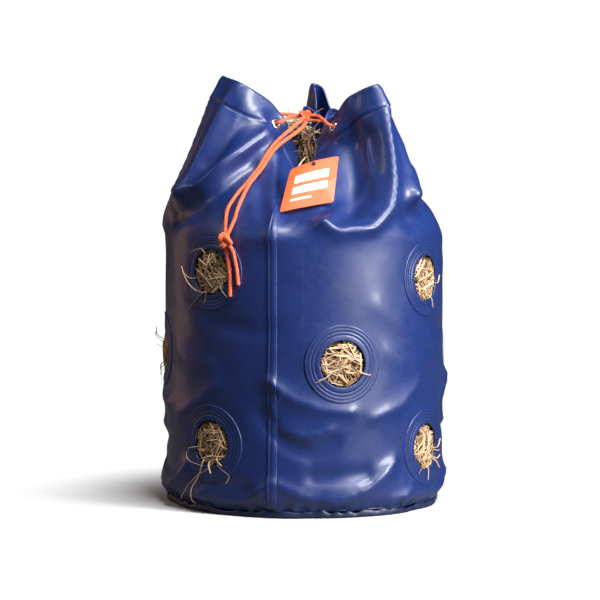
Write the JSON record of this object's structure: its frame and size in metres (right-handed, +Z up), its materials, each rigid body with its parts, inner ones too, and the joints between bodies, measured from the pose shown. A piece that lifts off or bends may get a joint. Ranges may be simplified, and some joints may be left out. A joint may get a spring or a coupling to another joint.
{
  "type": "hay feeding bag",
  "caption": "Round tarpaulin hay bag with reinforced feeding holes, filled with hay and drawn shut at the mouth by a cord through eyelets.",
  "frame": {"origin": "centre of the flat underside, where the bag rests on the floor", "axes": "+Z up through the mouth, -Y is the front with the seam and the hanging tag, +X is the viewer's right"},
  "size_m": [0.5042, 0.504, 0.7536],
  "materials": {
    "tarpaulin": "glossy PVC-coated woven fabric, navy blue",
    "tarpaulin_welt": "glossy PVC-coated tape, dark navy",
    "ring_tarpaulin": "glossy PVC-coated reinforcing ring, stitched and welded",
    "nickel_plate": "bright nickel-plated eyelets",
    "orange_cord": "braided orange cord, two shades",
    "thin_string": "thin orange string",
    "hay": "loose dried hay",
    "tag_card": "orange card with a plain pattern"
  },
  "bodies": {
    "bag": {"bag_body": "tarpaulin", "base_panel": "tarpaulin", "base_welt": "tarpaulin_welt", "body_seam": "tarpaulin_welt", "drawstring": "orange_cord", "eyelet_back_left": "nickel_plate", "eyelet_back_right": "nickel_plate", "eyelet_front_left": "nickel_plate", "eyelet_front_right": "nickel_plate", "eyelet_left_back": "nickel_plate", "eyelet_right_back": "nickel_plate", "eyelet_washer_back_left": "nickel_plate", "eyelet_washer_back_right": "nickel_plate", "eyelet_washer_front_left": "nickel_plate", "eyelet_washer_front_right": "nickel_plate", "eyelet_washer_left_back": "nickel_plate", "eyelet_washer_right_back": "nickel_plate", "hay_fill": "hay", "hole_ring_lower_1": "ring_tarpaulin", "hole_ring_lower_2": "ring_tarpaulin", "hole_ring_lower_3": "ring_tarpaulin", "hole_ring_lower_4": "ring_tarpaulin", "hole_ring_middle_1": "ring_tarpaulin", "hole_ring_middle_2": "ring_tarpaulin", "hole_ring_middle_3": "ring_tarpaulin", "hole_ring_middle_4": "ring_tarpaulin", "hole_ring_upper_1": "ring_tarpaulin", "hole_ring_upper_2": "ring_tarpaulin", "hole_ring_upper_3": "ring_tarpaulin", "hole_ring_upper_4": "ring_tarpaulin", "mouth_knot": "orange_cord"},
    "cord_end": {"free_strand_left": "orange_cord", "free_strand_right": "orange_cord", "end_knot": "orange_cord", "cord_tail_left": "orange_cord", "cord_tail_right": "orange_cord"},
    "tag": {"tag_card": "tag_card", "tag_string": "thin_string", "tag_string_knot": "thin_string"}
  },
  "joints": [
    {"name": "cord_end_swing", "type": "hinge", "parent": "bag", "child": "cord_end", "pos_m": [0.002, -0.047, 0.69], "axis": [-0.7896, 0.6137, 0], "range_deg": [0, 55]},
    {"name": "tag_swing", "type": "hinge", "parent": "bag", "child": "tag", "pos_m": [0.002, -0.047, 0.69], "axis": [-1, 0, 0], "range_deg": [0, 60]}
  ]
}
